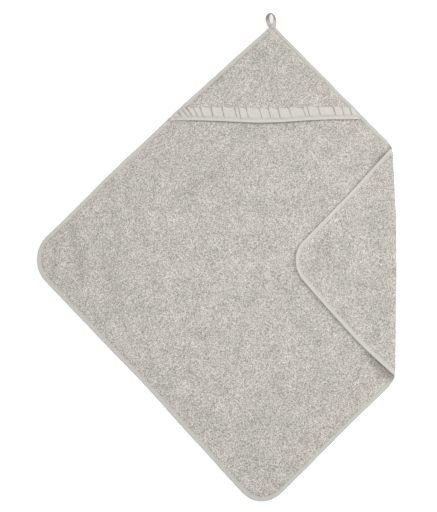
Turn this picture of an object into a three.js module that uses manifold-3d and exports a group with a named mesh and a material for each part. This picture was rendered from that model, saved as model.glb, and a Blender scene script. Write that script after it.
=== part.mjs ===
// Hooded baby towel, lying flat with its right-hand corner turned over onto its front.
// Millimetres, +Z up. The square's diagonals lie along X and Y, and the hood is at the +Y corner.
import * as THREE from 'three';
import { mergeVertices } from 'three/addons/utils/BufferGeometryUtils.js';
import Module from 'manifold-3d';

const wasm = await Module();
wasm.setup();

// Driving dimensions: the terry square
const SIDE = 800; // cut side of the square
const CORNER_RADIUS = 62; // rounding of the three plain corners
const TIP_RADIUS = 12; // rounding of the hooded corner
const SHARP = 0.5; // least rounding, where an inset uses up a corner's own
const TERRY_THICKNESS = 4.4; // cloth with its loops on both faces
const RIM_THICKNESS = 1.6; // the same cloth pressed flat inside a binding

// Driving dimensions: bindings and seams
const TAPE_THICKNESS = 0.4; // woven tape that wraps every edge
const EDGE_TAPE_WIDTH = 11; // what shows of the edge tape on each face
const MOUTH_TAPE_WIDTH = 10; // what shows of the hood's tape on each face
const THREAD_WIDTH = 0.6;
const THREAD_HEIGHT = 0.3;
const STITCH_INSET = 1.8; // from a tape's inner edge to its stitch line
const GAP = 0.3; // clearance between neighbouring pieces

// Driving dimensions: the folded corner
const FOLD_X = 293; // where the cloth leaves the flat, from the square's centre
const FOLD_RADIUS = 5; // of the cloth's middle surface around the fold
const HINGE_OFFSET = 3; // hinge axis beyond the start of the fold

// Driving dimensions: the hood
const HOOD_DEPTH = 230; // from the square's sharp corner to the hood's mouth
const HOOD_LIFT = 10; // rise of the mouth's middle over the sewn sides
const HOOD_TIP_HALF_WIDTH = 4; // the blunt end beside the edge tape's corner
const HOOD_LIFT_POWER = 1.5; // how quickly the rise dies away towards the tip
const FRILL_HEIGHT = 20;
const FRILL_CLOTH = 1.2;
const FRILL_WAVE = 1.6; // rise of a pleat at the frill's free edge
const FRILL_PLEATS = 17;

// Driving dimensions: the hanging loop and its bar tack
const LOOP_LENGTH = 36;
const LOOP_WIDTH = 25;
const LOOP_NECK = 8; // width where the two legs cross
const LOOP_THICKNESS = 3;
const LOOP_EYE_WIDTH = 14;
const LOOP_EYE_LENGTH = 15;
const LOOP_END_MARGIN = 6.5; // tape between the eye and the loop's far end
const TACK_WIDTH = 8;
const TACK_LENGTH = 2;
const TACK_SETBACK = 2; // from the cloth's tip to the tack

// Mesh fineness
const ARC_SEGMENTS = 7; // half the steps of each rounded corner
const ROLL_STEPS = 12;
const HOOD_STEPS_X = 16;
const HOOD_STEPS_Y = 8;
const STEPS_PER_PLEAT = 6;
const FAR = 2 * SIDE; // larger than anything that is cut

// Worked out from the driving dimensions
const HALF_DIAGONAL = SIDE / Math.SQRT2;
const ROUND_LOSS = Math.SQRT2 - 1; // what a rounding of radius 1 takes off a corner
const RIM_LOW = (TERRY_THICKNESS - RIM_THICKNESS) / 2;
const RIM_HIGH = RIM_LOW + RIM_THICKNESS;
const TAPE_LOW = RIM_LOW - GAP - TAPE_THICKNESS;
const TAPE_HIGH = RIM_HIGH + GAP + TAPE_THICKNESS;
const TAPE_OUTSET = GAP + TAPE_THICKNESS;
const THREAD_FRONT = TAPE_HIGH + GAP;
const THREAD_BACK = TAPE_LOW - GAP - THREAD_HEIGHT;
const HINGE_X = FOLD_X + HINGE_OFFSET;
const HINGE_Z = TERRY_THICKNESS / 2 + FOLD_RADIUS;
const ROLL_LENGTH = Math.PI * FOLD_RADIUS; // cloth taken up by the fold
const ROLL_TAKE_UP = ROLL_LENGTH - 2 * HINGE_OFFSET;
const CORNER_REACH = HALF_DIAGONAL - CORNER_RADIUS * ROUND_LOSS - ROLL_TAKE_UP - HINGE_X;
const CORNER_DROP = 2 * HINGE_Z - 2 * TERRY_THICKNESS - GAP; // from the fold's top to the cloth below
const CORNER_SWING = Math.PI + Math.asin(CORNER_DROP / CORNER_REACH); // folded to flat
const TIP_Y = HALF_DIAGONAL - TIP_RADIUS * ROUND_LOSS + TAPE_OUTSET;
const HOOD_BASE = TERRY_THICKNESS + GAP;
const HOOD_EDGE = HALF_DIAGONAL - (EDGE_TAPE_WIDTH + GAP) * Math.SQRT2; // where both sewn sides would meet
const MOUTH_Y = HALF_DIAGONAL - HOOD_DEPTH;
const HOOD_TIP_Y = HOOD_EDGE - HOOD_TIP_HALF_WIDTH;
const FRILL_Y = MOUTH_Y + MOUTH_TAPE_WIDTH + GAP;
const LOOP_HINGE_Z = THREAD_FRONT + THREAD_HEIGHT + GAP;

const material = (color, roughness) => new THREE.MeshStandardMaterial({ color, roughness, metalness: 0 });
const terryLook = material(0xc2beb7, 0.95);
const tapeLook = material(0xd6d2cb, 0.85);
const threadLook = material(0xe0dcd5, 0.7);

function toSolid(geometry) {
  geometry.deleteAttribute('normal');
  geometry.deleteAttribute('uv');
  const merged = mergeVertices(geometry, 1e-4);
  const vertProperties = new Float32Array(merged.attributes.position.array);
  const triVerts = new Uint32Array(merged.index.array);
  return new wasm.Manifold(new wasm.Mesh({ numProp: 3, vertProperties, triVerts }));
}

function toGeometry(solid) {
  const { vertProperties, triVerts } = solid.getMesh();
  const geometry = new THREE.BufferGeometry();
  geometry.setAttribute('position', new THREE.BufferAttribute(vertProperties, 3));
  geometry.setIndex(new THREE.BufferAttribute(triVerts, 1));
  geometry.computeVertexNormals();
  return geometry;
}

function named(name, geometry, look) {
  const mesh = new THREE.Mesh(geometry, look.clone());
  mesh.name = name;
  return mesh;
}

// The square with rounded corners, moved inwards by an inset
function squareOutline(inset) {
  const radii = [CORNER_RADIUS, TIP_RADIUS, CORNER_RADIUS, CORNER_RADIUS];
  const shape = new THREE.Shape();
  radii.forEach((radius, quarter) => {
    const heading = quarter * Math.PI / 2;
    const rounding = Math.max(radius - inset, SHARP);
    const reach = HALF_DIAGONAL - (inset + rounding) * Math.SQRT2;
    const start = heading - Math.PI / 4;
    const end = heading + Math.PI / 4;
    shape.absarc(reach * Math.cos(heading), reach * Math.sin(heading), rounding, start, end, false);
  });
  return shape;
}

function extruded(shape, low, high) {
  const options = { depth: high - low, bevelEnabled: false, curveSegments: ARC_SEGMENTS };
  return new THREE.ExtrudeGeometry(shape, options).translate(0, 0, low);
}

const squareSlab = (inset, low, high) => toSolid(extruded(squareOutline(inset), low, high));

// Everything between two values of X
function between(left, right) {
  const box = new THREE.BoxGeometry(right - left, FAR, FAR);
  return toSolid(box.translate((left + right) / 2, 0, 0));
}

function wholeTerry() {
  const body = squareSlab(EDGE_TAPE_WIDTH + GAP, 0, TERRY_THICKNESS);
  const rim = squareSlab(0, RIM_LOW, RIM_HIGH);
  return body.add(rim);
}

function wholeBinding() {
  const outside = squareSlab(-TAPE_OUTSET, TAPE_LOW, TAPE_HIGH);
  const channel = squareSlab(-GAP, RIM_LOW - GAP, RIM_HIGH + GAP);
  const middle = squareSlab(EDGE_TAPE_WIDTH, -FAR, FAR);
  return outside.subtract(channel).subtract(middle);
}

function wholeStitch(low) {
  const inset = EDGE_TAPE_WIDTH - STITCH_INSET;
  const outside = squareSlab(inset - THREAD_WIDTH, low, low + THREAD_HEIGHT);
  const middle = squareSlab(inset, -FAR, FAR);
  return outside.subtract(middle);
}

const flatSide = (whole) => toGeometry(whole.intersect(between(-FAR, FOLD_X)));

// The corner past the fold, laid out flat about the hinge axis
function cornerSide(whole) {
  const geometry = toGeometry(whole.intersect(between(FOLD_X + ROLL_LENGTH + GAP, FAR)));
  return geometry.translate(-ROLL_TAKE_UP - HINGE_X, 0, -HINGE_Z);
}

// A half ring of cloth around the fold, between two thicknesses, from one end to a lower one.
// The square's edge crosses the fold at 45 degrees, so each end leans with the height.
function foldRing(low, high, upperEnd, lowerEnd) {
  const middle = TERRY_THICKNESS / 2;
  const section = new THREE.Shape();
  section.absarc(0, 0, FOLD_RADIUS + middle - low, -Math.PI / 2, Math.PI / 2, false);
  section.absarc(0, 0, FOLD_RADIUS + middle - high, Math.PI / 2, -Math.PI / 2, true);
  const options = { depth: 1, bevelEnabled: false, curveSegments: ROLL_STEPS / 2 };
  const geometry = new THREE.ExtrudeGeometry(section, options);
  const position = geometry.attributes.position;
  const lean = ROLL_LENGTH / 2 / FOLD_RADIUS;
  const halfLength = HALF_DIAGONAL - FOLD_X - ROLL_LENGTH / 2;
  for (let i = 0; i < position.count; i += 1) {
    const height = position.getY(i);
    const end = position.getZ(i) < 0.5 ? upperEnd : lowerEnd;
    const y = end.side * (halfLength - lean * height - end.inset * Math.SQRT2);
    position.setXYZ(i, FOLD_X + GAP + position.getX(i), y, HINGE_Z + height);
  }
  return toGeometry(toSolid(geometry));
}

// Height of the hood's lower face over its sewn sides
function hoodRise(x, y) {
  const across = x / (HOOD_EDGE - y);
  const along = THREE.MathUtils.clamp((y - MOUTH_Y) / (HOOD_TIP_Y - MOUTH_Y), 0, 1);
  return HOOD_LIFT * (1 - across * across) * (1 - along) ** HOOD_LIFT_POWER;
}

// A strip across the hood that follows its sewn sides and its rise, about the hood's hinge axis
function hoodStrip({ lowY, highY, low, high, stepsX = HOOD_STEPS_X, stepsY = 1, wave = () => 0 }) {
  const geometry = new THREE.BoxGeometry(2, highY - lowY, high - low, stepsX, stepsY, 1);
  geometry.translate(0, (lowY + highY) / 2, (low + high) / 2);
  const position = geometry.attributes.position;
  for (let i = 0; i < position.count; i += 1) {
    const across = position.getX(i);
    const y = position.getY(i);
    const x = across * (HOOD_EDGE - y);
    const z = position.getZ(i) + hoodRise(x, y) + wave(across, (y - lowY) / (highY - lowY));
    position.setXYZ(i, x, y - HOOD_TIP_Y, z);
  }
  return toSolid(geometry);
}

function hoodPanel() {
  const bodyY = MOUTH_Y + MOUTH_TAPE_WIDTH + GAP;
  const body = hoodStrip({ lowY: bodyY, highY: HOOD_TIP_Y, low: 0, high: TERRY_THICKNESS, stepsY: HOOD_STEPS_Y });
  const rim = hoodStrip({ lowY: MOUTH_Y, highY: bodyY + TAPE_THICKNESS, low: RIM_LOW, high: RIM_HIGH });
  return toGeometry(body.add(rim));
}

function hoodBinding() {
  const innerY = MOUTH_Y + MOUTH_TAPE_WIDTH;
  const outside = hoodStrip({ lowY: MOUTH_Y - TAPE_OUTSET, highY: innerY, low: TAPE_LOW, high: TAPE_HIGH });
  const channel = { lowY: MOUTH_Y - GAP, highY: innerY + GAP, low: RIM_LOW - GAP, high: RIM_HIGH + GAP };
  return toGeometry(outside.subtract(widened(hoodStrip(channel))));
}

// A little wider across, so that a cut passes both ends of what it cuts
const widened = (solid) => solid.scale([1.01, 1, 1]);

function hoodFrill() {
  const low = TERRY_THICKNESS + GAP;
  const pleat = (across) => (1 - Math.cos(across * FRILL_PLEATS * Math.PI)) / 2;
  const wave = (across, along) => FRILL_WAVE * along * pleat(across);
  const stepsX = FRILL_PLEATS * STEPS_PER_PLEAT;
  const size = { lowY: FRILL_Y, highY: FRILL_Y + FRILL_HEIGHT, low, high: low + FRILL_CLOTH };
  return toGeometry(hoodStrip({ ...size, stepsX, stepsY: 2, wave }));
}

function hoodThread(lowY, low) {
  return toGeometry(hoodStrip({ lowY, highY: lowY + THREAD_WIDTH, low, high: low + THREAD_HEIGHT }));
}

// Tape loop seen from above: a narrow neck, a round far end and the eye for a hook
function hangingLoop() {
  const half = LOOP_WIDTH / 2;
  const neck = LOOP_NECK / 2;
  const bend = LOOP_LENGTH - half;
  const shape = new THREE.Shape();
  shape.moveTo(neck, GAP);
  shape.quadraticCurveTo(half, bend / 2, half, bend);
  shape.absarc(0, bend, half, 0, Math.PI, false);
  shape.quadraticCurveTo(-half, bend / 2, -neck, GAP);
  shape.closePath();
  const eye = new THREE.Path();
  const eyeY = LOOP_LENGTH - LOOP_END_MARGIN - LOOP_EYE_LENGTH / 2;
  eye.absellipse(0, eyeY, LOOP_EYE_WIDTH / 2, LOOP_EYE_LENGTH / 2, 0, 2 * Math.PI, true);
  shape.holes.push(eye);
  return toGeometry(toSolid(extruded(shape, -LOOP_THICKNESS, 0)));
}

// The close stitches that hold the loop, on top of the edge tape
function barTack() {
  const box = new THREE.BoxGeometry(TACK_WIDTH, TACK_LENGTH, THREAD_HEIGHT);
  const y = TIP_Y - TAPE_OUTSET - TACK_SETBACK - TACK_LENGTH / 2;
  return box.translate(0, y, THREAD_FRONT + THREAD_HEIGHT / 2);
}

function towelBody() {
  const group = new THREE.Group();
  const edge = EDGE_TAPE_WIDTH;
  const hoodwardEnds = [{ side: 1, inset: -TAPE_OUTSET }, { side: 1, inset: edge }];
  const farEnds = [{ side: -1, inset: edge }, { side: -1, inset: -TAPE_OUTSET }];
  const rollEnds = [{ side: 1, inset: edge + GAP }, { side: -1, inset: edge + GAP }];
  group.add(
    named('terry_panel', flatSide(wholeTerry()), terryLook),
    named('edge_binding', flatSide(wholeBinding()), tapeLook),
    named('edge_stitch_front', flatSide(wholeStitch(THREAD_FRONT)), threadLook),
    named('edge_stitch_back', flatSide(wholeStitch(THREAD_BACK)), threadLook),
    named('fold_roll', foldRing(0, TERRY_THICKNESS, ...rollEnds), terryLook),
    named('fold_binding_upper', foldRing(TAPE_LOW, TAPE_HIGH, ...hoodwardEnds), tapeLook),
    named('fold_binding_lower', foldRing(TAPE_LOW, TAPE_HIGH, ...farEnds), tapeLook),
    named('loop_bartack', barTack(), threadLook),
  );
  return group;
}

function cornerBody() {
  const group = new THREE.Group();
  group.position.set(HINGE_X, 0, HINGE_Z);
  group.rotation.y = -CORNER_SWING;
  group.add(
    named('terry_corner', cornerSide(wholeTerry()), terryLook),
    named('corner_binding', cornerSide(wholeBinding()), tapeLook),
    named('corner_stitch_front', cornerSide(wholeStitch(THREAD_FRONT)), threadLook),
    named('corner_stitch_back', cornerSide(wholeStitch(THREAD_BACK)), threadLook),
  );
  return group;
}

function hoodBody() {
  const group = new THREE.Group();
  group.position.set(0, HOOD_TIP_Y, HOOD_BASE);
  const stitchY = MOUTH_Y + MOUTH_TAPE_WIDTH - STITCH_INSET;
  const gatherLow = TERRY_THICKNESS + 2 * GAP + FRILL_CLOTH;
  group.add(
    named('hood_panel', hoodPanel(), terryLook),
    named('hood_binding', hoodBinding(), tapeLook),
    named('hood_frill', hoodFrill(), tapeLook),
    named('hood_stitch_front', hoodThread(stitchY, THREAD_FRONT), threadLook),
    named('hood_stitch_back', hoodThread(stitchY, THREAD_BACK), threadLook),
    named('frill_gathering_stitch', hoodThread(FRILL_Y, gatherLow), threadLook),
  );
  return group;
}

function loopBody() {
  const group = new THREE.Group();
  group.position.set(0, TIP_Y, LOOP_HINGE_Z);
  group.add(named('hanging_loop', hangingLoop(), tapeLook));
  return group;
}

// The origin is under the middle of the whole outline
function centred(model) {
  model.updateMatrixWorld(true);
  const box = new THREE.Box3().setFromObject(model, true);
  model.position.x -= (box.min.x + box.max.x) / 2;
  model.position.y -= (box.min.y + box.max.y) / 2;
  model.position.z -= box.min.z;
  return model;
}

const towel = new THREE.Group();
towel.add(towelBody(), cornerBody(), hoodBody(), loopBody());

export default centred(towel);
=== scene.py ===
"""A hooded baby towel lying on a pale floor with its right-hand corner turned over.

Lengths in the shapes below are millimetres from the middle of the terry square, with u to the right
and v towards the hood. They turn into metres in the shared frame when a piece is made.
"""

import math

import bmesh
import bpy
import numpy as np
from mathutils import Matrix, Vector


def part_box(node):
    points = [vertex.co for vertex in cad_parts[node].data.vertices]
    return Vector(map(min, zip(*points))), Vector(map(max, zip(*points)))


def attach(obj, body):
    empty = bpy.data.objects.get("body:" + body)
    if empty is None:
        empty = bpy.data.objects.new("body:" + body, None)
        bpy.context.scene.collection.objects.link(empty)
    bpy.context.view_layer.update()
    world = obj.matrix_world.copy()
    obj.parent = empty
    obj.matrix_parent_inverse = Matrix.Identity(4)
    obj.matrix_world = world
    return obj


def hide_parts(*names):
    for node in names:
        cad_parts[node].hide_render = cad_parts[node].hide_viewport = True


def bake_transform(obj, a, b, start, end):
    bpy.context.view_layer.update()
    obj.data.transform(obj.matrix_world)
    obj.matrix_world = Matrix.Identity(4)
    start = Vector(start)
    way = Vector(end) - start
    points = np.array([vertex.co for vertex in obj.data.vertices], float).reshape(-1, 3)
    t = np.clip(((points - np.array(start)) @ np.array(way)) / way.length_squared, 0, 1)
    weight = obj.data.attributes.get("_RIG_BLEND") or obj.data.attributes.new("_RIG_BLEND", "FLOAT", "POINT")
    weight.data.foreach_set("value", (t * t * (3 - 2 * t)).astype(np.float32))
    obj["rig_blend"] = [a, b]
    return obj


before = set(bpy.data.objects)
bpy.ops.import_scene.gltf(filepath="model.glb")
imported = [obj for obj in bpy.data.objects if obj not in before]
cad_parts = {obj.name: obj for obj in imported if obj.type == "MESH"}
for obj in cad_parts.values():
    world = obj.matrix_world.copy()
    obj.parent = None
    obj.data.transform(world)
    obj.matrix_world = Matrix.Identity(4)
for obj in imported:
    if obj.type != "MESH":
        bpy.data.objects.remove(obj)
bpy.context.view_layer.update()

MM = 0.001

# The terry square
SIDE = 800.0
TOP = SIDE / math.sqrt(2)
ROUNDINGS = {0: 62.0, 90: 12.0, 180: 74.0, 270: 62.0}
HALF_PILE = 2.2
HALF_RIM = 0.8
PILE_COUNT = 216
MEAN_SWELL = 2.2
PULL_REACH = 450.0

# The turned-over corner; its fold is drawn in and pinched at both ends
FOLD_REACH = 300.0
FOLD_DRAWN_IN = 8.5
FOLD_MIDDLE = 5.0
FOLD_RADIUS = 5.0
FOLD_LOWER_END = -262.0
FOLD_UPPER_END = 268.0
FOLD_PINCH = 5.0
RESTING_GAP = 4.9
CORNER_SPREAD = 7.0
CORNER_SAG = 5.0
EDGE_CURL = 1.8
EDGE_CURL_WIDTH = 18.0
HINGE_U = 296.0
HINGE_Z = 7.2

# The hood
MOUTH = 331.2
HOOD_END = 549.0
HOOD_MIDDLE_Z = 6.9
SEAM_Z = 4.2
SEAM_WIDTH = 8.0
MOUTH_RISE = 4.0
MOUTH_TILT = 3.5
MOUTH_SAG = 8.0

# Bindings, stitches, frill and loop
TAPE_WIDTH = 8.4
TAPE_BEND = 1.2
TAPE_CLOTH = 0.4
EDGE_TAPE_STEPS = 1500
MOUTH_TAPE_STEPS = 260
HOOD_TAPE_LIFT = 2.6
MOUTH_TAPE_WIDTH = 8.6
STITCH_PITCH = 3.2
STITCH_INSET = 6.8
MOUTH_STITCH_INSET = 6.0
THREAD_WIDTH = 0.75
THREAD_HEIGHT = 0.5
FRILL_START = 7.6
FRILL_HEIGHT = 21.5
FRILL_FULLNESS = 1.3
FRILL_STEPS = 760
LOOP_CLOTH = 0.5
LOOP_BEND = 0.35
LOOP_HALF_WIDTH = 3.8
LOOP_STEPS = 96
TACK_V = 555.5
TACK_Z = 8.35

loop_low, loop_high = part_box("hanging_loop")
corner_low, corner_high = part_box("terry_corner")
MIDDLE = np.array([(loop_low.x + loop_high.x) / 2, (corner_low.y + corner_high.y) / 2, 0.0])


def ease(t):
    """From 0 to 1, level at both ends."""
    t = np.clip(t, 0.0, 1.0)
    return t * t * (3 - 2 * t)


def dents(x, y, cell, seed):
    """Smooth random values from -1 to 1 that change over about one cell."""
    count = 128
    table = np.random.default_rng(seed).uniform(-1.0, 1.0, (count, count))
    gx = np.asarray(x) / cell + count / 2
    gy = np.asarray(y) / cell + count / 2
    i = np.floor(gx).astype(int)
    j = np.floor(gy).astype(int)
    fx = ease(gx - i)
    fy = ease(gy - j)
    i0, i1, j0, j1 = i % count, (i + 1) % count, j % count, (j + 1) % count
    low = table[i0, j0] * (1 - fx) + table[i1, j0] * fx
    high = table[i0, j1] * (1 - fx) + table[i1, j1] * fx
    return low * (1 - fy) + high * fy


# How the cloth lies

# Where a hand has pulled each flat corner: its place, and how far it went
PULLS = (
    (0.0, 555.0, 11.0, -2.0),
    (-545.0, 0.0, 2.0, -6.0),
    (0.0, -545.0, -4.0, -4.0),
)

# Soft creases left from folding: both ends, width and height
CREASES = (
    (-452.0, 72.0, -420.0, -62.0, 10.0, 1.3),
    (-486.0, 32.0, -492.0, -48.0, 9.0, 1.0),
    (-330.0, -95.0, -372.0, -20.0, 14.0, 0.9),
    (122.0, 34.0, 120.0, -22.0, 9.0, 1.2),
    (142.0, 70.0, 146.0, 20.0, 10.0, 0.8),
    (-28.0, 508.0, -8.0, 474.0, 9.0, 1.1),
    (60.0, -330.0, 0.0, -250.0, 14.0, 0.8),
    (-60.0, 235.0, -190.0, 150.0, 18.0, 0.9),
)


def crease_swell(x, y):
    """Height that the soft creases add."""
    swell = 0.0
    for start_x, start_y, end_x, end_y, width, height in CREASES:
        way_x, way_y = end_x - start_x, end_y - start_y
        along = ((x - start_x) * way_x + (y - start_y) * way_y) / (way_x**2 + way_y**2)
        along = np.clip(along, 0, 1)
        off = np.hypot(x - start_x - along * way_x, y - start_y - along * way_y)
        swell = swell + height * np.exp(-((off / width) ** 2))
    return swell


def lay(x, y, z):
    """The last small shifts that all the pieces share, where the towel isn't quite square or flat."""
    shift_x = 0.9 * dents(x, y, 95.0, 11)
    shift_y = 0.9 * dents(x, y, 95.0, 12)
    for pull_x, pull_y, by_x, by_y in PULLS:
        near = np.clip(1 - np.hypot(x - pull_x, y - pull_y) / PULL_REACH, 0, 1) ** 2
        shift_x = shift_x + by_x * near
        shift_y = shift_y + by_y * near
    swell = 0.7 * dents(x, y, 140.0, 13) + 0.4 * dents(x, y, 55.0, 14) + 0.8 * dents(x, y, 34.0, 15)
    swell = swell + crease_swell(x, y)
    return np.stack([x + shift_x, y + shift_y, z + MEAN_SWELL + swell], axis=-1)


def fold_reach(v):
    """How far out the fold comes; it is drawn in at both ends."""
    t = (v - FOLD_MIDDLE) / 300
    return FOLD_REACH - FOLD_DRAWN_IN * t**2


def fold_radius(v):
    """The fold is tight in the middle and opens into a hollow at each end."""
    upper = 3.0 * np.exp(-(((v - FOLD_UPPER_END) / 45) ** 2))
    lower = 5.8 * np.exp(-(((v - FOLD_LOWER_END) / 50) ** 2))
    return FOLD_RADIUS + upper + lower


def fold_start(v):
    """Where the cloth leaves the floor to turn over."""
    return fold_reach(v) - fold_radius(v) - HALF_PILE


def corner_inset(u, v):
    """How far a point of the turned-over corner is from its edge."""
    radius = ROUNDINGS[0]
    out = u - (TOP - radius * math.sqrt(2))
    straight = (TOP - u - np.abs(v)) / math.sqrt(2)
    return np.where(out > np.abs(v), radius - np.hypot(out, v), straight)


def drape(u, v, h):
    """Where a point of the square comes to lie; h is its height off the cloth's middle, front up."""
    radius = fold_radius(v)
    start = fold_start(v)
    along = u - start
    angle = np.clip(along / radius, 0, math.pi)
    past = np.maximum(along - math.pi * radius, 0)
    settle = 60 + 75 * np.exp(-(((v - FOLD_LOWER_END) / 60) ** 2))
    drop = (2 * radius - RESTING_GAP) * ease(past / settle)
    x = start + np.minimum(along, 0) + (radius - h) * np.sin(angle) - past
    x = x + CORNER_SPREAD * np.clip(past / 230, 0, 1.2) ** 2
    y = v - CORNER_SAG * np.sin(np.clip(past / 240, 0, 1) * math.pi)
    y = y - FOLD_PINCH * np.sign(v) * ease((np.abs(v) - 190) / 80) * np.sin(angle)
    curl = EDGE_CURL * ease(1 - corner_inset(u, v) / EDGE_CURL_WIDTH) * ease(past / 40)
    z = HALF_PILE + radius - (radius - h) * np.cos(angle) - drop + curl
    return lay(x, y, z)


def corner_share(place, u, v, h):
    """How much of the corner's turn a point takes, so that an opened corner lies on the floor.

    Where the fold is drawn in from the hinge, its lower part stays where it is, as a crease does.
    """
    from_axis = place[:, 0] - HINGE_U
    above = place[:, 2] - HINGE_Z
    angle = np.arctan2(above, from_axis)
    along = (u - fold_start(v)) / fold_radius(v)
    angle = np.where((along > math.pi / 2) & (angle < 0), angle + 2 * math.pi, angle)
    reach = np.maximum(np.hypot(from_axis, above), 0.1)
    resting = HALF_PILE + MEAN_SWELL + h
    floor_angle = np.arcsin(np.clip((HINGE_Z - resting) / reach, -1, 1))
    share = np.clip((angle + floor_angle) / math.pi, 0, 1)
    drawn_in = ease((HINGE_U - fold_start(v) - 5) / 5)
    return np.where(along <= 0.45 * math.pi * drawn_in, 0.0, share)


def mouth_bow(p):
    """The hood's mouth hangs a little below the straight line between its ends."""
    return MOUTH_TILT * p - MOUTH_SAG * np.exp(-((1.1 * p + 0.05) ** 2) / 0.26)


def hood_slack(u, v):
    """0 on both sewn sides and at the tip, 1 in the middle of the mouth."""
    p = np.clip(u / np.maximum(TOP - v, 1.0), -1, 1)
    along = np.clip((v - MOUTH) / (HOOD_END - MOUTH), 0, 1)
    return (1 - p**2) * (1 - along) ** 1.5


def place_hood(u, v, h):
    """Where a point of the hood comes to lie; h is its height off the hood's middle."""
    p = u / np.maximum(TOP - v, 1.0)
    near_mouth = ease(1 - (v - MOUTH) / 60)
    y = v + mouth_bow(np.clip(p, -1, 1)) * near_mouth
    x = p * np.maximum(TOP - y, 1.0)
    inset = (TOP - v - np.abs(u)) / math.sqrt(2)
    middle = SEAM_Z + (HOOD_MIDDLE_Z - SEAM_Z) * ease(inset / SEAM_WIDTH - 1)
    middle = middle + MOUTH_RISE * hood_slack(u, v)
    return lay(x, y, middle + h)


# From flat pieces to objects


def flat_piece(length, width, along, across, thickness):
    """A flat cloth with two faces and a rim, lengthwise along X, centred."""
    bm = bmesh.new()
    bmesh.ops.create_grid(bm, x_segments=along, y_segments=across, size=0.5)
    bmesh.ops.scale(bm, vec=(length, width, 1.0), verts=bm.verts[:])
    bmesh.ops.solidify(bm, geom=bm.faces[:], thickness=thickness)
    bmesh.ops.recalc_face_normals(bm, faces=bm.faces[:])
    return bm


def points_of(bm):
    """The flat piece's points, and which of them are on its front."""
    points = np.array([vert.co[:] for vert in bm.verts])
    front = points[:, 2] > points[:, 2].mean()
    return points, front


def made(name, bm, place, cut, look):
    """The object, with its points at place and a map of where each lay in the flat cloth."""
    mesh = bpy.data.meshes.new(name)
    bm.to_mesh(mesh)
    bm.free()
    place = place * MM + MIDDLE
    mesh.vertices.foreach_set("co", place.astype(np.float32).ravel())
    mesh.update()
    corners = np.zeros(len(mesh.loops), np.int32)
    mesh.loops.foreach_get("vertex_index", corners)
    layer = mesh.uv_layers.new(name="cut")
    layer.data.foreach_set("uv", (cut[corners] * MM).astype(np.float32).ravel())
    mesh.calc_loop_triangles()
    triangles = np.zeros(len(mesh.loop_triangles) * 3, np.int32)
    mesh.loop_triangles.foreach_get("vertices", triangles)
    a, b, c = (place[triangles.reshape(-1, 3)[:, k]] - place[0] for k in range(3))
    if (a * np.cross(b, c)).sum() < 0:
        mesh.flip_normals()
    mesh.shade_smooth()
    mesh.materials.append(look)
    obj = bpy.data.objects.new(name, mesh)
    bpy.context.scene.collection.objects.link(obj)
    return obj


def keep_values(obj, name, values):
    """One number for each point, for a material or a bend to read."""
    attribute = obj.data.attributes.get(name) or obj.data.attributes.new(name, "FLOAT", "POINT")
    attribute.data.foreach_set("value", values.astype(np.float32))


def bends(obj, body, share):
    """obj follows the towel where share is 0 and the other body where it is 1."""
    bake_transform(obj, "towel", body, (0.0, 0.0, 0.0), (1.0, 0.0, 0.0))
    keep_values(obj, "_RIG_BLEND", share)


def pile_relief(u, v, seed):
    """Rise and fall of the tufts, from about -0.6 to 0.6."""
    single = np.random.default_rng(seed).uniform(-1, 1, len(u))
    small = dents(u, v, 6.5, seed + 1)
    large = dents(u, v, 13.0, seed + 2)
    return 0.3 * single + 0.15 * small + 0.12 * large


def pile_height(relief, inset):
    """Height of the pile off the cloth's middle; it is squeezed flat under a tape."""
    open_pile = ease((inset - TAPE_WIDTH + 1.5) / 4)
    return HALF_RIM + (HALF_PILE - HALF_RIM) * open_pile + relief * (0.1 + 0.75 * open_pile)


def rounded(a, b):
    """Bends the corners of a square grid round; also gives each point's inset from the edge."""
    new_a, new_b = a.copy(), b.copy()
    inset = SIDE / 2 - np.maximum(np.abs(a), np.abs(b))
    signs = {0: (1, -1), 90: (1, 1), 180: (-1, 1), 270: (-1, -1)}
    for heading, (sign_a, sign_b) in signs.items():
        radius = ROUNDINGS[heading]
        centre = SIDE / 2 - radius
        p = (sign_a * a - centre) / radius
        q = (sign_b * b - centre) / radius
        inside = (p > 0) & (q > 0)
        bent_p = p * np.sqrt(np.maximum(1 - q**2 / 2, 0))
        bent_q = q * np.sqrt(np.maximum(1 - p**2 / 2, 0))
        new_a = np.where(inside, sign_a * (centre + bent_p * radius), new_a)
        new_b = np.where(inside, sign_b * (centre + bent_q * radius), new_b)
        inset = np.where(inside, radius * (1 - np.hypot(bent_p, bent_q)), inset)
    return new_a, new_b, inset


def turned(a, b):
    """From along the square's sides to along its diagonals."""
    return (a - b) / math.sqrt(2), (a + b) / math.sqrt(2)


def towel_terry(look):
    """The whole square of loop pile, front and back."""
    bm = flat_piece(SIDE, SIDE, PILE_COUNT, PILE_COUNT, 1.0)
    points, front = points_of(bm)
    a, b, inset = rounded(points[:, 0], points[:, 1])
    u, v = turned(a, b)
    relief = np.where(front, pile_relief(u, v, 21), pile_relief(u, v, 31))
    h = np.where(front, 1, -1) * pile_height(relief, inset)
    place = drape(u, v, h)
    obj = made("towel_terry", bm, place, np.stack([a, b], axis=-1), look)
    # Painted shade: low tufts, and the soft creases on the turned-over corner, are kept darker in the pile
    # value that the material reads.
    painted_crease_shade = np.where(place[:, 2] > 4, crease_swell(place[:, 0], place[:, 1]), 0.0)
    keep_values(obj, "pile", 0.5 + 0.5 * relief - 0.5 * painted_crease_shade)
    bends(obj, "corner", corner_share(place, u, v, h))
    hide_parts("terry_panel", "fold_roll", "terry_corner")
    return obj


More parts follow.
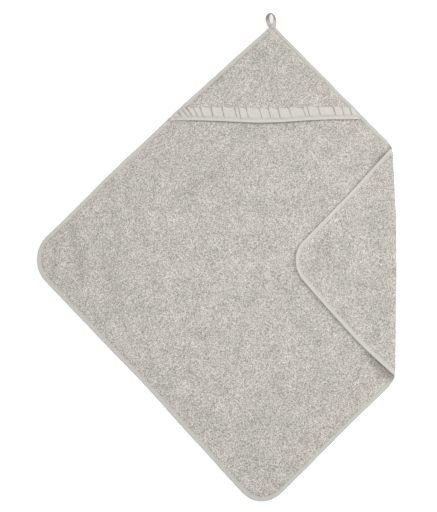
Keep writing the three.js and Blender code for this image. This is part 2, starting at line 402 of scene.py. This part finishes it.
def hood_terry(look):
    """One corner of a square of terry, cut off along the mouth."""
    reach = SIDE / 2 - 0.6
    start = MOUTH * math.sqrt(2) - reach
    size = reach - start
    middle = (reach + start) / 2
    count = round(size * PILE_COUNT / SIDE * 1.1)
    bm = bmesh.new()
    bmesh.ops.create_grid(bm, x_segments=count, y_segments=count, size=0.5)
    bmesh.ops.scale(bm, vec=(size, size, 1.0), verts=bm.verts[:])
    bmesh.ops.translate(bm, vec=(middle, middle, 0.0), verts=bm.verts[:])
    cut = (MOUTH + 0.7) / math.sqrt(2)
    everything = bm.verts[:] + bm.edges[:] + bm.faces[:]
    bmesh.ops.bisect_plane(
        bm,
        geom=everything,
        dist=0.0001,
        plane_co=(cut, cut, 0.0),
        plane_no=(-1.0, -1.0, 0.0),
        clear_outer=True,
    )
    bmesh.ops.solidify(bm, geom=bm.faces[:], thickness=1.0)
    bmesh.ops.recalc_face_normals(bm, faces=bm.faces[:])
    points, front = points_of(bm)
    a, b, side_inset = rounded(points[:, 0], points[:, 1])
    u, v = turned(a, b)
    inset = np.minimum(side_inset, v - MOUTH)
    relief = np.where(front, pile_relief(u, v, 41), pile_relief(u, v, 51))
    h = np.where(front, 1, -1) * pile_height(relief, inset)
    place = place_hood(u, v, h)
    obj = made("hood_terry", bm, place, np.stack([a, b], axis=-1), look)
    # Painted shade: low tufts and the soft creases on the hood are kept darker in the pile value that the
    # material reads.
    painted_crease_shade = crease_swell(place[:, 0], place[:, 1])
    keep_values(obj, "pile", 0.5 + 0.5 * relief - 0.5 * painted_crease_shade)
    bends(obj, "hood", hood_slack(u, v))
    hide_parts("hood_panel")
    return obj


def square_edge():
    """Length along the square's edge from the hood's tip, with the points and outward directions."""
    points = []
    normals = []
    for heading, first, last in ((90, 0, 45), (180, -45, 45), (270, -45, 45), (0, -45, 45), (90, -45, 0)):
        radius = ROUNDINGS[heading]
        reach = TOP - radius * math.sqrt(2)
        centre = reach * np.array([math.cos(math.radians(heading)), math.sin(math.radians(heading))])
        angles = np.radians(heading + np.linspace(first, last, 40))
        outward = np.stack([np.cos(angles), np.sin(angles)], axis=-1)
        points.append(centre + radius * outward)
        normals.append(outward)
    points = np.concatenate(points)
    normals = np.concatenate(normals)
    steps = np.hypot(*np.diff(points, axis=0).T)
    return np.concatenate([[0.0], np.cumsum(steps)]), points, normals


EDGE_LENGTHS, EDGE_POINTS, EDGE_NORMALS = square_edge()
EDGE_TOTAL = EDGE_LENGTHS[-1]


def on_edge(t, inset):
    """The point at length t along the square's edge and inset from it."""
    u, v = (np.interp(t, EDGE_LENGTHS, EDGE_POINTS[:, k]) for k in range(2))
    out_u, out_v = (np.interp(t, EDGE_LENGTHS, EDGE_NORMALS[:, k]) for k in range(2))
    return u - inset * out_u, v - inset * out_v


def folded_tape(p, off, bend):
    """A tape folded over an edge: inset and height for the distance p from its fold line."""
    angle = np.clip(p / bend, -math.pi / 2, math.pi / 2)
    flat = np.maximum(np.abs(p) - bend * math.pi / 2, 0)
    inset = bend - 0.7 - (bend + off) * np.cos(angle) + flat
    height = (bend + off) * np.sin(angle) + np.sign(p) * 0.5 * ease((flat - 3) / 8)
    return inset, height


def seam_lift(v):
    """The edge tape lies higher where it takes in the hood as well."""
    return HOOD_TAPE_LIFT * ease((v - MOUTH + 5.2) / 12)


def edge_tape(look):
    """One woven tape, folded over the edge all the way round."""
    width = 2 * TAPE_WIDTH + math.pi * TAPE_BEND
    bm = flat_piece(EDGE_TOTAL - 1, width, EDGE_TAPE_STEPS, 14, 1.0)
    points, front = points_of(bm)
    t = points[:, 0] + EDGE_TOTAL / 2
    p = points[:, 1]
    inset, h = folded_tape(p, np.where(front, 0.5, -0.5) * TAPE_CLOTH, TAPE_BEND)
    pucker = 0.16 * dents(t, p, 4.5, 61) + 0.14 * dents(t, p, 11.0, 62)
    h = h + pucker * ease(np.abs(p) / 4)
    u, v = on_edge(t, inset + 0.25 * dents(t, p * 0, 9.0, 63))
    over_edge = ease((p / TAPE_BEND + math.pi / 2) / math.pi)
    raised = h + seam_lift(v) * over_edge
    place = drape(u, v, raised)
    obj = made("edge_tape", bm, place, np.stack([t, p], axis=-1), look)
    # Painted shade: the tape's front, lying lower than the pile beside it, is a little darker than its back.
    keep_values(obj, "shade", 1 - 0.07 * over_edge)
    bends(obj, "corner", corner_share(place, u, v, h))
    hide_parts("edge_binding", "fold_binding_upper", "fold_binding_lower", "corner_binding")
    return obj


def mouth_tape(look):
    """The hood's own tape, folded over its free edge."""
    width = 2 * MOUTH_TAPE_WIDTH + math.pi * TAPE_BEND
    bm = flat_piece(1.0, width, MOUTH_TAPE_STEPS, 16, 1.0)
    points, front = points_of(bm)
    p = points[:, 1]
    inset, h = folded_tape(p, np.where(front, 0.5, -0.5) * TAPE_CLOTH, TAPE_BEND)
    v = MOUTH + inset
    u = 2 * points[:, 0] * (TOP - v - 5)
    pucker = 0.2 * dents(u, p, 4.5, 64) + 0.2 * dents(u, p, 12.0, 65)
    h = h + pucker * ease(np.abs(p) / 4)
    obj = made("hood_mouth_tape", bm, place_hood(u, v, h), np.stack([u, p], axis=-1), look)
    keep_values(obj, "shade", np.ones(len(u)))
    bends(obj, "hood", hood_slack(u, v))
    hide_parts("hood_binding")
    return obj


# Where each pleat of the frill is folded, at the middle of its height, and how long and dark the painted
# shade in its crease is
PLEATS = np.array(
    [-226, -208, -194, -182, -168, -154, -130, -104, -75, -66, -48, -17]
    + [3, 25, 51, 84, 94, 120, 157, 178, 197, 226],
    float,
)
PLEAT_SHADE_STRENGTHS = np.random.default_rng(73).uniform(0.3, 1.0, len(PLEATS))
PLEAT_TUCK = 3.3
PLEAT_REACH = 4.0


def pleats(u, w):
    """Sideways shift and rise of the gathered strip, and the painted shade in its creases, for a point w up
    from its seam.
    """
    slant = 0.22 + 0.6 * ease((-145 - u) / 50)
    leaning = u + slant * (w - FRILL_HEIGHT / 2)
    k = np.clip(np.searchsorted(PLEATS, leaning) - 1, 0, len(PLEATS) - 2)
    after = leaning - PLEATS[k]
    before = leaning - PLEATS[k + 1]
    grow = 0.3 + 0.7 * ease(w / FRILL_HEIGHT)
    tuck_after = np.sin(math.pi * np.clip(after / PLEAT_REACH, 0, 1))
    tuck_before = np.sin(math.pi * np.clip(before / PLEAT_REACH, -1, 0))
    shift = -PLEAT_TUCK * (tuck_after + tuck_before) * grow
    fall = after / (PLEATS[k + 1] - PLEATS[k])
    saw = ease(after / PLEAT_REACH + 0.5) + ease(before / PLEAT_REACH + 0.5) - fall
    rise = (2.9 + 0.8 * dents(leaning, leaning * 0, 31.0, 71)) * saw * grow
    gathers = 0.4 * dents(u, w * 0.3, 3.6, 72) * (1 - 0.8 * grow)
    shade_strength = PLEAT_SHADE_STRENGTHS[np.where(after < -before, k, k + 1)]
    # painted shade: darker along each pleat's crease
    crease = np.exp(-((np.minimum(after, -before) / 1.7) ** 2)) * ease(w / 5)
    crease = crease * ease((shade_strength * 30 - w) / 6)
    return shift, rise + gathers, 1 - (0.5 + 0.35 * shade_strength) * crease


def gathered_frill(look):
    """A gathered strip caught in the mouth tape's seam, lying towards the tip."""
    bm = flat_piece(1.0, FRILL_HEIGHT, FRILL_STEPS, 16, 1.0)
    points, front = points_of(bm)
    w = points[:, 1] + FRILL_HEIGHT / 2
    v = MOUTH + FRILL_START + w
    flat_u = 2 * points[:, 0] * (TOP - v - 6)
    shift, rise, shade = pleats(flat_u, w)
    ends = ease((1 - np.abs(2 * points[:, 0])) * 25)
    u = flat_u + shift * ends
    scallop = 0.9 * (rise - 1.5) * ease(w / FRILL_HEIGHT)
    v = v + scallop
    off_seam = HALF_RIM + 0.5 + (HALF_PILE - HALF_RIM) * ease(w / 5)
    h = off_seam + rise * ends + np.where(front, 0.25, -0.25)
    cut = np.stack([flat_u * FRILL_FULLNESS, w], axis=-1)
    obj = made("gathered_frill", bm, place_hood(u, v, h), cut, look)
    # the painted crease shade, for the tape material to read
    keep_values(obj, "shade", shade)
    bends(obj, "hood", hood_slack(u, v))
    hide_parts("hood_frill")
    return obj


def stitch_row(count, pitch, width, height):
    """Separate stitches along X, each a rounded bead of thread, the first at half a pitch."""
    bm = bmesh.new()
    bmesh.ops.create_uvsphere(bm, u_segments=6, v_segments=4, radius=0.5)
    bmesh.ops.scale(bm, vec=(height, width, pitch * 0.86), verts=bm.verts[:])
    turn = Matrix.Rotation(math.pi / 2, 3, "Y")
    bmesh.ops.rotate(bm, cent=(0.0, 0.0, 0.0), matrix=turn, verts=bm.verts[:])
    bmesh.ops.translate(bm, vec=(pitch / 2, 0.0, 0.0), verts=bm.verts[:])
    per_bead = len(bm.faces)
    beads = 1
    while beads < count:
        more = min(beads, count - beads)
        faces = bm.faces[: more * per_bead]
        copy = bmesh.ops.duplicate(bm, geom=faces)
        moved = [item for item in copy["geom"] if isinstance(item, bmesh.types.BMVert)]
        bmesh.ops.translate(bm, vec=(beads * pitch, 0.0, 0.0), verts=moved)
        bm.faces.ensure_lookup_table()
        beads += more
    return bm


def edge_stitches(name, look, side, nodes):
    """The row that closes the edge tape, seen on one face of the towel."""
    count = round(EDGE_TOTAL / STITCH_PITCH)
    bm = stitch_row(count, EDGE_TOTAL / count, THREAD_WIDTH, THREAD_HEIGHT)
    points, _ = points_of(bm)
    t = points[:, 0]
    u, v = on_edge(t, STITCH_INSET + points[:, 1] + 0.25 * dents(t, t * 0, 9.0, 63))
    h = side * (TAPE_BEND + TAPE_CLOTH / 2 + 0.42) + points[:, 2]
    lift = seam_lift(v) if side > 0 else 0.0
    place = drape(u, v, h + lift)
    obj = made(name, bm, place, points[:, :2], look)
    bends(obj, "corner", corner_share(place, u, v, h))
    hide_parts(*nodes)
    return obj


def mouth_stitches(name, look, side, node):
    """The row that closes the mouth tape, seen on one face of the hood."""
    length = 2 * (TOP - MOUTH - 14)
    count = round(length / STITCH_PITCH)
    bm = stitch_row(count, length / count, THREAD_WIDTH, THREAD_HEIGHT)
    points, _ = points_of(bm)
    u = points[:, 0] - length / 2
    v = MOUTH + MOUTH_STITCH_INSET + points[:, 1]
    h = side * (TAPE_BEND + TAPE_CLOTH / 2 + 0.45) + points[:, 2]
    obj = made(name, bm, place_hood(u, v, h), points[:, :2], look)
    bends(obj, "hood", hood_slack(u, v))
    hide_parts(node)
    return obj


def gathering_stitches(look):
    """The row that holds the frill's gathers, just above the mouth tape."""
    length = 2 * (TOP - MOUTH - 30)
    count = round(length / STITCH_PITCH)
    bm = stitch_row(count, length / count, 0.7, THREAD_HEIGHT)
    points, _ = points_of(bm)
    u = points[:, 0] - length / 2
    w = 2.2 + points[:, 1]
    _, rise, _ = pleats(u, w)
    h = HALF_RIM + 0.9 + (HALF_PILE - HALF_RIM) * ease(w / 5) + rise + points[:, 2]
    v = MOUTH + FRILL_START + w
    obj = made("frill_gathering_stitches", bm, place_hood(u, v, h), points[:, :2], look)
    bends(obj, "hood", hood_slack(u, v))
    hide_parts("frill_gathering_stitch")
    return obj


# The hanging loop's way from the left-hand edge over the far end and back under itself:
# u, v, height, and how far the tape stands up on its edge in degrees
LOOP_WAY = (
    (-10.0, 548.0, 7.0, 0),
    (-3.8, 555.0, 7.2, 0),
    (1.8, 562.5, 7.2, 5),
    (5.0, 571.0, 6.2, 18),
    (5.8, 579.5, 5.2, 36),
    (3.2, 588.2, 5.0, 48),
    (-2.2, 592.8, 5.0, 50),
    (-7.6, 590.6, 5.0, 42),
    (-10.6, 583.4, 4.2, 22),
    (-9.8, 575.4, 3.6, 10),
    (-6.6, 567.5, 3.2, 4),
    (-2.8, 560.5, 3.0, 0),
    (1.0, 554.0, 3.0, 0),
)


def smooth_way(knots, count):
    """A smooth curve through the knots, with count even steps of its parameter."""
    knots = np.array(knots, float)
    padded = np.concatenate([[2 * knots[0] - knots[1]], knots, [2 * knots[-1] - knots[-2]]])
    t = np.linspace(0, len(knots) - 1, count)
    k = np.minimum(t.astype(int), len(knots) - 2)
    f = (t - k)[:, None]
    a, b, c, d = (padded[k + n] for n in range(4))
    bend = 2 * a - 5 * b + 4 * c - d
    return 0.5 * (2 * b + (c - a) * f + bend * f**2 + (3 * b - 3 * c + d - a) * f**3)


def hanging_loop(look):
    """The tape's end, folded lengthwise, with crossed legs; also gives its length."""
    width = 4 * LOOP_HALF_WIDTH + math.pi * LOOP_BEND
    bm = flat_piece(1.0, width, LOOP_STEPS, 14, 1.0)
    points, front = points_of(bm)
    way = smooth_way(LOOP_WAY, LOOP_STEPS + 1)
    step = np.gradient(way[:, :3], axis=0)
    step /= np.linalg.norm(step, axis=1)[:, None]
    level = np.cross((0.0, 0.0, 1.0), step)
    level /= np.linalg.norm(level, axis=1)[:, None]
    stand = np.radians(way[:, 3])[:, None]
    across = np.cos(stand) * level + np.sin(stand) * np.array([0.0, 0.0, 1.0])
    facing = np.cross(step, across)
    index = np.rint((points[:, 0] + 0.5) * LOOP_STEPS).astype(int)
    inset, height = folded_tape(points[:, 1], np.where(front, 0.5, -0.5) * LOOP_CLOTH, LOOP_BEND)
    opened_out = 1 + 0.5 * ease(1 - index / 30)
    offset = ((inset - LOOP_HALF_WIDTH) * opened_out)[:, None]
    spot = way[index, :3] + offset * across[index] + (0.6 * height)[:, None] * facing[index]
    place = lay(spot[:, 0], spot[:, 1], spot[:, 2])
    lengths = np.concatenate([[0.0], np.cumsum(np.linalg.norm(np.diff(way[:, :3], axis=0), axis=1))])
    cut = np.stack([lengths[index], points[:, 1]], axis=-1)
    obj = made("hanging_loop_tape", bm, place, cut, look)
    # Painted shade: the whole loop is kept darker than the other tape, and its far end darker still, most on
    # its inner face.
    inside = ease(0.5 + 0.4 * points[:, 1])
    keep_values(obj, "shade", 0.88 - (0.12 + 0.24 * inside) * ease((spot[:, 1] - 570) / 12))
    bends(obj, "loop", ease((spot[:, 1] - 561) / 12))
    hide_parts("hanging_loop")
    return obj, lengths[-1]


def bar_tack(look):
    """Close stitches across the loop's legs at the towel's tip."""
    bm = stitch_row(11, 0.75, 3.0, 0.55)
    points, _ = points_of(bm)
    x = points[:, 0] - 4.1
    place = lay(x, TACK_V + points[:, 1], TACK_Z + points[:, 2])
    obj = made("bar_tack", bm, place, points[:, :2], look)
    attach(obj, "towel")
    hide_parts("loop_bartack")
    return obj


# Materials


def node_group(name, inputs, outputs):
    """An empty group with these sockets, and its input and output nodes."""
    group = bpy.data.node_groups.new(name, "ShaderNodeTree")
    for label, kind in inputs:
        group.interface.new_socket(name=label, in_out="INPUT", socket_type=kind)
    for label, kind in outputs:
        group.interface.new_socket(name=label, in_out="OUTPUT", socket_type=kind)
    return group, group.nodes.new("NodeGroupInput"), group.nodes.new("NodeGroupOutput")


def math_node(tree, operation, a, b):
    """A Math node; a and b are each a socket or a number."""
    node = tree.nodes.new("ShaderNodeMath")
    node.operation = operation
    for socket, value in zip(node.inputs, (a, b)):
        if isinstance(value, (int, float)):
            socket.default_value = value
        else:
            tree.links.new(value, socket)
    return node.outputs[0]


def noise(tree, place, scale, detail, roughness=0.5):
    """Soft random values round 0.5; scale is how many waves lie in a metre."""
    node = tree.nodes.new("ShaderNodeTexNoise")
    node.inputs["Scale"].default_value = scale
    node.inputs["Detail"].default_value = detail
    node.inputs["Roughness"].default_value = roughness
    tree.links.new(place, node.inputs["Vector"])
    return node.outputs["Fac"]


def around_one(tree, value, middle, strength):
    """1 where value is at its middle, moving away from it by strength."""
    centred = math_node(tree, "SUBTRACT", value, middle)
    return math_node(tree, "ADD", math_node(tree, "MULTIPLY", centred, strength), 1.0)


def tinted(tree, tint, brightness, saturation=None):
    """The tint, made brighter and more or less colourful."""
    node = tree.nodes.new("ShaderNodeHueSaturation")
    tree.links.new(tint, node.inputs["Color"])
    tree.links.new(brightness, node.inputs["Value"])
    if saturation is not None:
        tree.links.new(saturation, node.inputs["Saturation"])
    return node.outputs["Color"]


def loop_pile_group():
    """Colour, roughness and height of cotton loops, from the place in the cloth and the tuft's rise; the
    colour is darkened as painted shade in the gaps between loops, on low tufts and along creases.
    """
    inputs = (
        ("Place", "NodeSocketVector"),
        ("Rise", "NodeSocketFloat"),
        ("Tint", "NodeSocketColor"),
        ("Speckle", "NodeSocketFloat"),
        ("Mottle", "NodeSocketFloat"),
    )
    outputs = (
        ("Colour", "NodeSocketColor"),
        ("Roughness", "NodeSocketFloat"),
        ("Height", "NodeSocketFloat"),
    )
    tree, given, result = node_group("loop pile", inputs, outputs)
    place = given.outputs["Place"]
    loops = tree.nodes.new("ShaderNodeTexVoronoi")
    loops.inputs["Scale"].default_value = 560
    tree.links.new(place, loops.inputs["Vector"])
    each = tree.nodes.new("ShaderNodeSeparateColor")
    tree.links.new(loops.outputs["Color"], each.inputs[0])
    yarn = noise(tree, place, 850, 2, 0.7)
    fuzz = noise(tree, place, 2600, 1)
    # Broad patches: real uneven tone and roughness, with their brightness made strong enough to be partly
    # painted shade of the cloth's soft dents.
    patches = noise(tree, place, 14, 2)
    nap_and_dent_shade = noise(tree, place, 34, 1)
    mottle = given.outputs["Mottle"]
    factors = (
        around_one(tree, each.outputs[0], 0.5, given.outputs["Speckle"]),
        around_one(tree, yarn, 0.5, 0.9),
        # painted shade: darker in the gaps between the loops
        around_one(tree, loops.outputs["Distance"], 0.4, -0.75),
        around_one(tree, fuzz, 0.5, 0.3),
        # painted shade: darker on low tufts and along the soft creases, from the rise kept on the mesh
        around_one(tree, given.outputs["Rise"], 0.5, 0.2),
        # uneven tone, partly painted shade of soft dents
        around_one(tree, patches, 0.5, mottle),
        around_one(tree, nap_and_dent_shade, 0.5, mottle),
    )
    brightness = factors[0]
    for factor in factors[1:]:
        brightness = math_node(tree, "MULTIPLY", brightness, factor)
    saturation = around_one(tree, patches, 0.5, 0.5)
    colour = tinted(tree, given.outputs["Tint"], brightness, saturation)
    domes = math_node(tree, "MULTIPLY", loops.outputs["Distance"], -1.6)
    height = math_node(tree, "ADD", domes, math_node(tree, "MULTIPLY", yarn, 0.6))
    height = math_node(tree, "ADD", height, math_node(tree, "MULTIPLY", fuzz, 0.3))
    roughness = math_node(tree, "ADD", math_node(tree, "MULTIPLY", nap_and_dent_shade, 0.12), 0.86)
    tree.links.new(colour, result.inputs["Colour"])
    tree.links.new(roughness, result.inputs["Roughness"])
    tree.links.new(height, result.inputs["Height"])
    return tree


def plain_weave_group():
    """Colour, roughness and height of a plain woven cotton; Threads is how many lie in a metre."""
    inputs = (
        ("Place", "NodeSocketVector"),
        ("Threads", "NodeSocketFloat"),
        ("Tint", "NodeSocketColor"),
        ("Wear", "NodeSocketFloat"),
        ("Shade", "NodeSocketFloat"),
    )
    outputs = (
        ("Colour", "NodeSocketColor"),
        ("Roughness", "NodeSocketFloat"),
        ("Height", "NodeSocketFloat"),
    )
    tree, given, result = node_group("plain weave", inputs, outputs)
    place = given.outputs["Place"]
    parts = tree.nodes.new("ShaderNodeSeparateXYZ")
    tree.links.new(place, parts.inputs[0])
    turns = math_node(tree, "MULTIPLY", given.outputs["Threads"], math.pi)
    warp = math_node(tree, "SINE", math_node(tree, "MULTIPLY", parts.outputs["X"], turns), 0.0)
    weft = math_node(tree, "SINE", math_node(tree, "MULTIPLY", parts.outputs["Y"], turns), 0.0)
    over = math_node(tree, "MULTIPLY", warp, weft)
    yarn = noise(tree, place, 700, 2)
    handled = noise(tree, place, 28, 3)
    weave = around_one(tree, over, 0.0, 0.07)
    slub = around_one(tree, yarn, 0.5, 0.28)
    wear = around_one(tree, handled, 0.5, given.outputs["Wear"])
    brightness = math_node(tree, "MULTIPLY", math_node(tree, "MULTIPLY", weave, slub), wear)
    brightness = math_node(tree, "MULTIPLY", brightness, given.outputs["Shade"])
    colour = tinted(tree, given.outputs["Tint"], brightness)
    height = math_node(tree, "ADD", math_node(tree, "MULTIPLY", over, 0.5), yarn)
    roughness = math_node(tree, "ADD", math_node(tree, "MULTIPLY", handled, 0.16), 0.72)
    tree.links.new(colour, result.inputs["Colour"])
    tree.links.new(roughness, result.inputs["Roughness"])
    tree.links.new(height, result.inputs["Height"])
    return tree


def fabric(name, group, values, carried, sheen, bump):
    """A material from a cloth group; carried names the input and the value kept on the mesh for it."""
    look = bpy.data.materials.new(name)
    look.use_nodes = True
    tree = look.node_tree
    shader = tree.nodes["Principled BSDF"]
    shader.inputs["Sheen Weight"].default_value = sheen
    shader.inputs["Sheen Roughness"].default_value = 0.6
    shader.inputs["Specular IOR Level"].default_value = 0.25
    cloth = tree.nodes.new("ShaderNodeGroup")
    cloth.node_tree = group
    for label, value in values.items():
        cloth.inputs[label].default_value = value
    for label, kept in carried.items():
        reader = tree.nodes.new("ShaderNodeAttribute")
        reader.attribute_name = kept
        tree.links.new(reader.outputs["Fac"], cloth.inputs[label])
    cut = tree.nodes.new("ShaderNodeUVMap")
    cut.uv_map = "cut"
    relief = tree.nodes.new("ShaderNodeBump")
    relief.inputs["Strength"].default_value = bump
    relief.inputs["Distance"].default_value = 0.001
    tree.links.new(cut.outputs["UV"], cloth.inputs["Place"])
    tree.links.new(cloth.outputs["Colour"], shader.inputs["Base Color"])
    tree.links.new(cloth.outputs["Roughness"], shader.inputs["Roughness"])
    tree.links.new(cloth.outputs["Height"], relief.inputs["Height"])
    tree.links.new(relief.outputs["Normal"], shader.inputs["Normal"])
    return look


def soft_light(name, place, aim, size, power):
    """A square lamp at place, turned towards aim."""
    lamp = bpy.data.lights.new(name, "AREA")
    lamp.shape = "SQUARE"
    lamp.size = size
    lamp.energy = power
    obj = bpy.data.objects.new(name, lamp)
    obj.location = place
    obj.rotation_mode = "QUATERNION"
    obj.rotation_quaternion = (Vector(aim) - Vector(place)).to_track_quat("-Z", "Y")
    bpy.context.scene.collection.objects.link(obj)


pile_group = loop_pile_group()
weave_group = plain_weave_group()
terry = fabric(
    "grey-beige terry",
    pile_group,
    {"Tint": (0.418, 0.395, 0.364, 1.0), "Speckle": 0.78, "Mottle": 0.27},
    {"Rise": "pile"},
    0.12,
    0.5,
)
tape = fabric(
    "light woven tape",
    weave_group,
    {"Tint": (0.455, 0.434, 0.405, 1.0), "Threads": 1300.0, "Wear": 0.12},
    {"Shade": "shade"},
    0.05,
    0.25,
)
thread = fabric(
    "pale sewing thread",
    weave_group,
    {"Tint": (0.440, 0.422, 0.396, 1.0), "Threads": 3600.0, "Wear": 0.08, "Shade": 1.0},
    {},
    0.03,
    0.2,
)

# The towel's pieces

square = towel_terry(terry)
hood = hood_terry(terry)
binding = edge_tape(tape)
mouth = mouth_tape(tape)
frill = gathered_frill(tape)
loop, loop_length = hanging_loop(tape)
front_row = edge_stitches(
    "edge_stitches_front", thread, 1, ("edge_stitch_front", "corner_stitch_front")
)
back_row = edge_stitches(
    "edge_stitches_back", thread, -1, ("edge_stitch_back", "corner_stitch_back")
)
mouth_front_row = mouth_stitches("mouth_stitches_front", thread, 1, "hood_stitch_front")
mouth_back_row = mouth_stitches("mouth_stitches_back", thread, -1, "hood_stitch_back")
gathering_row = gathering_stitches(thread)
tack = bar_tack(thread)

# The floor and the studio

bpy.ops.mesh.primitive_plane_add(size=8.0, location=(0.0, 0.0, 0.0))
floor = bpy.context.object
floor.name = "studio_floor"
paper = bpy.data.materials.new("white paper")
paper.use_nodes = True
paper.node_tree.nodes["Principled BSDF"].inputs["Base Color"].default_value = (0.93, 0.93, 0.93, 1.0)
paper.node_tree.nodes["Principled BSDF"].inputs["Roughness"].default_value = 0.9
floor.data.materials.append(paper)

soft_light("key", (2.6, 1.0, 2.3), (0.0, 0.0, 0.0), 1.2, 66.0)
soft_light("overhead", (0.05, -0.05, 1.85), (0.05, -0.05, 0.0), 0.7, 24.0)

world = bpy.data.worlds.new("studio")
world.use_nodes = True
world.node_tree.nodes["Background"].inputs["Color"].default_value = (1.0, 1.0, 1.0, 1.0)
world.node_tree.nodes["Background"].inputs["Strength"].default_value = 0.5
bpy.context.scene.world = world
bpy.context.scene.view_settings.view_transform = "Standard"

lens = bpy.data.cameras.new("camera")
lens.lens = 50.0
lens.sensor_width = 36.0
camera = bpy.data.objects.new("camera", lens)
camera.location = (0.061, -0.185, 1.648)
camera.rotation_mode = "ZXY"
camera.rotation_euler = (math.radians(5.66), math.radians(1.75), math.radians(0.95))
bpy.context.scene.collection.objects.link(camera)
bpy.context.scene.camera = camera
